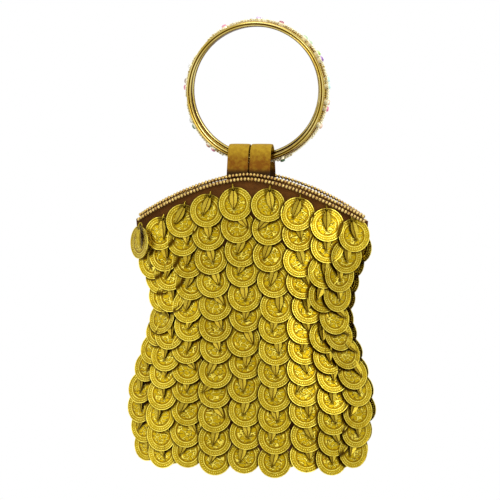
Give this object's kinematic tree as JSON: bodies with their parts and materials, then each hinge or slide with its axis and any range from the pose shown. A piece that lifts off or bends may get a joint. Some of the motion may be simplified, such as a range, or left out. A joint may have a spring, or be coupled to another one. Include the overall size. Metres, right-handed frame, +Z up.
{
  "type": "phone pouch",
  "caption": "Upright evening phone pouch covered with rows of gold imitation coins, with an arched beaded mouth and suede loops on a set of brass bangles.",
  "frame": {"origin": "inside top of the carrier bangle, where the hand or a hook holds it", "axes": "+Z up, the front of the pouch towards -Y, +X to the right seen from the front; the bangles stand in the XZ plane"},
  "size_m": [0.1218, 0.0378, 0.2321],
  "materials": {
    "polished_brass": "polished",
    "jewelled_brass": "openwork with coloured stones",
    "suede": "tan suede",
    "cloth": "dark reddish brown woven cloth",
    "lining": "golden brown",
    "beads": "gold-lined glass beads",
    "coins": "stamped, gold coloured"
  },
  "bodies": {
    "carrier": {"bangle_carrier": "polished_brass"},
    "front_bangle": {"bangle_front": "polished_brass"},
    "jewelled_bangle": {"bangle_jewelled": "jewelled_brass"},
    "pouch": {"loop_left": "suede", "loop_right": "suede", "panel_front": "cloth", "panel_back": "cloth", "lining_front": "lining", "lining_back": "lining", "bead_string_front_upper": "beads", "bead_string_front_lower": "beads", "bead_string_back_upper": "beads", "bead_string_back_lower": "beads", "coin_row_front_01": "coins", "coin_row_front_02": "coins", "coin_row_front_03": "coins", "coin_row_front_04": "coins", "coin_row_front_05": "coins", "coin_row_front_06": "coins", "coin_row_front_07": "coins", "coin_row_front_08": "coins", "coin_row_front_09": "coins", "coin_row_front_10": "coins", "coin_row_front_11": "coins", "coin_row_front_12": "coins", "coin_row_back_01": "coins", "coin_row_back_02": "coins", "coin_row_back_03": "coins", "coin_row_back_04": "coins", "coin_row_back_05": "coins", "coin_row_back_06": "coins", "coin_row_back_07": "coins", "coin_row_back_08": "coins", "coin_row_back_09": "coins", "coin_row_back_10": "coins", "coin_row_back_11": "coins", "coin_row_back_12": "coins"}
  },
  "joints": [
    {"name": "pouch_swing", "type": "hinge", "parent": "carrier", "child": "pouch", "pos_m": [-0.0025, 0, -0.06583], "axis": [1, 0, 0], "range_deg": [-90, 90]},
    {"name": "front_bangle_turn", "type": "hinge", "parent": "carrier", "child": "front_bangle", "pos_m": [0, -0.0026, -0.03275], "axis": [0, 1, 0], "continuous": true},
    {"name": "jewelled_bangle_turn", "type": "hinge", "parent": "carrier", "child": "jewelled_bangle", "pos_m": [0, 0.0026, -0.03275], "axis": [0, 1, 0], "continuous": true}
  ]
}
